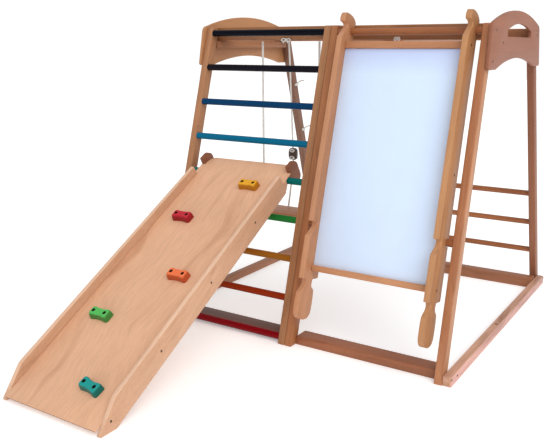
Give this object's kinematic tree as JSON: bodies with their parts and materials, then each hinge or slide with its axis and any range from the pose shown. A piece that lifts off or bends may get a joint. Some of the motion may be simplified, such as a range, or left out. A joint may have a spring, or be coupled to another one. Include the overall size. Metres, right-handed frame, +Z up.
{
  "type": "indoor climbing gym",
  "caption": "Wooden A-frame indoor play gym with a coloured rung ladder, a hook-on climbing ramp slide with holds, a hanging white drawing board and a rope swing.",
  "frame": {"origin": "centre of the covered floor area, on the floor", "axes": "+Z up, the ladder and the slide face -Y, +X to the right seen from the front"},
  "size_m": [1.3626, 2.254, 1.306],
  "materials": {
    "beech": "satin clear lacquer",
    "beech_red": "satin clear lacquer",
    "beech_ply": "satin clear lacquer",
    "beech_pale": "satin clear lacquer",
    "deck_ply": "satin clear lacquer",
    "board_face": "gloss",
    "rope": "braided cord",
    "rung_navy": "gloss paint on wood",
    "rung_violet": "gloss paint on wood",
    "rung_blue": "gloss paint on wood",
    "rung_cyan": "gloss paint on wood",
    "rung_teal": "gloss paint on wood",
    "rung_green": "gloss paint on wood",
    "rung_amber": "gloss paint on wood",
    "rung_orange": "gloss paint on wood",
    "rung_red": "gloss paint on wood",
    "hold_yellow": "moulded, semi-gloss",
    "hold_red": "moulded, semi-gloss",
    "hold_orange": "moulded, semi-gloss",
    "hold_green": "moulded, semi-gloss",
    "hold_teal": "moulded, semi-gloss"
  },
  "bodies": {
    "gym_frame": {"leg_front_left": "beech", "leg_back_left": "beech", "leg_front_mid_left": "beech_red", "leg_back_mid_left": "beech", "leg_front_mid_right": "beech", "leg_back_mid_right": "beech", "leg_front_right": "beech_red", "leg_back_right": "beech", "rung_1_navy": "rung_navy", "rung_2_violet": "rung_violet", "rung_3_blue": "rung_blue", "rung_4_cyan": "rung_cyan", "rung_5_teal": "rung_teal", "rung_6_green": "rung_green", "rung_7_amber": "rung_amber", "rung_8_orange": "rung_orange", "rung_9_red": "rung_red", "board_bar_upper": "beech", "board_bar_lower": "beech", "back_rung_left_6": "beech", "back_rung_right_6": "beech", "back_rung_left_7": "beech", "back_rung_right_7": "beech", "back_rung_left_8": "beech", "back_rung_right_8": "beech", "base_rail_front_left": "beech", "base_rail_front_right": "beech", "base_rail_back": "beech", "base_rail_side_left": "beech", "base_rail_side_right": "beech", "beam_front": "beech", "beam_back": "beech", "crosspiece_left": "beech", "crosspiece_mid": "beech", "crosspiece_right": "beech", "end_plate_left": "beech_ply", "end_plate_right": "beech_ply"},
    "board": {"board_stile_left": "beech", "board_stile_right": "beech", "board_panel": "board_face", "board_rail_top": "beech", "board_rail_bottom": "beech"},
    "slide": {"slide_rail_left": "beech_pale", "slide_rail_right": "beech_pale", "slide_deck": "deck_ply", "slide_hook_left": "beech", "slide_hook_right": "beech", "slide_batten_top": "beech", "slide_batten_low": "beech", "hold_yellow": "hold_yellow", "hold_red": "hold_red", "hold_orange": "hold_orange", "hold_green": "hold_green", "hold_teal": "hold_teal"},
    "swing": {"swing_seat": "beech", "swing_rope_left": "rope", "swing_rope_right": "rope", "swing_rope_mid_upper": "rope", "swing_rope_mid_lower": "rope", "swing_toggle": "beech"}
  },
  "joints": [
    {"name": "board_swing_out", "type": "hinge", "parent": "gym_frame", "child": "board", "pos_m": [0.3265, 0.12494, 1.2256], "axis": [-1, 0, 0], "range_deg": [0, 12]},
    {"name": "slide_lift", "type": "hinge", "parent": "gym_frame", "child": "slide", "pos_m": [-0.3385, -0.04906, 0.6256], "axis": [-1, 0, 0], "range_deg": [0, 60]},
    {"name": "swing_pendulum", "type": "hinge", "parent": "gym_frame", "child": "swing", "pos_m": [-0.253, 0.18752, 1.194], "axis": [1, 0, 0], "range_deg": [-12, 40]}
  ]
}
